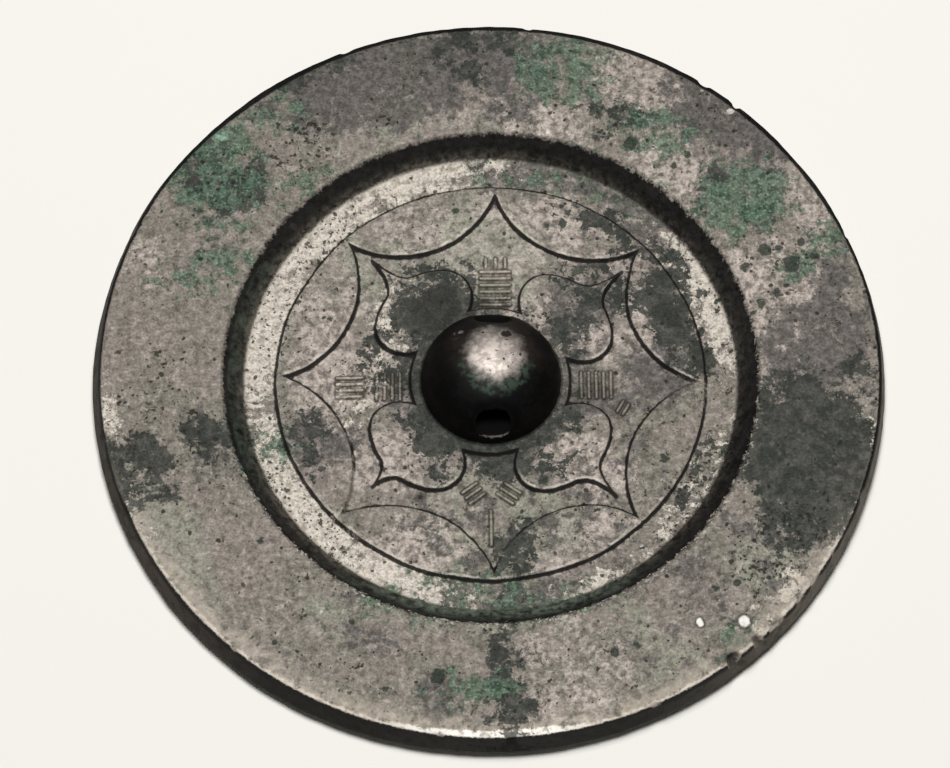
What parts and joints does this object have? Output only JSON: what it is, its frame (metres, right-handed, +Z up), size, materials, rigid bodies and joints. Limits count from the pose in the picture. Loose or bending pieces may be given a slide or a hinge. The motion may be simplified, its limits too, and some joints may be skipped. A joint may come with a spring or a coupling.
{
  "type": "bronze mirror",
  "caption": "Round cast bronze mirror with a broad raised rim, a star of arcs, leaves and a pierced domed knob, lying on its mirror face.",
  "frame": {"origin": "on the resting surface, on the mirror's axis", "axes": "+Z up, out of the decorated back; the knob's cord hole runs along Y"},
  "size_m": [0.151, 0.151, 0.013],
  "materials": {
    "patinated_bronze": "worn pinkish grey bronze with dark grey-green patina, pale earth in the sunk band, and green spots"
  },
  "bodies": {
    "root": {"bronze_mirror": "patinated_bronze"}
  },
  "joints": []
}
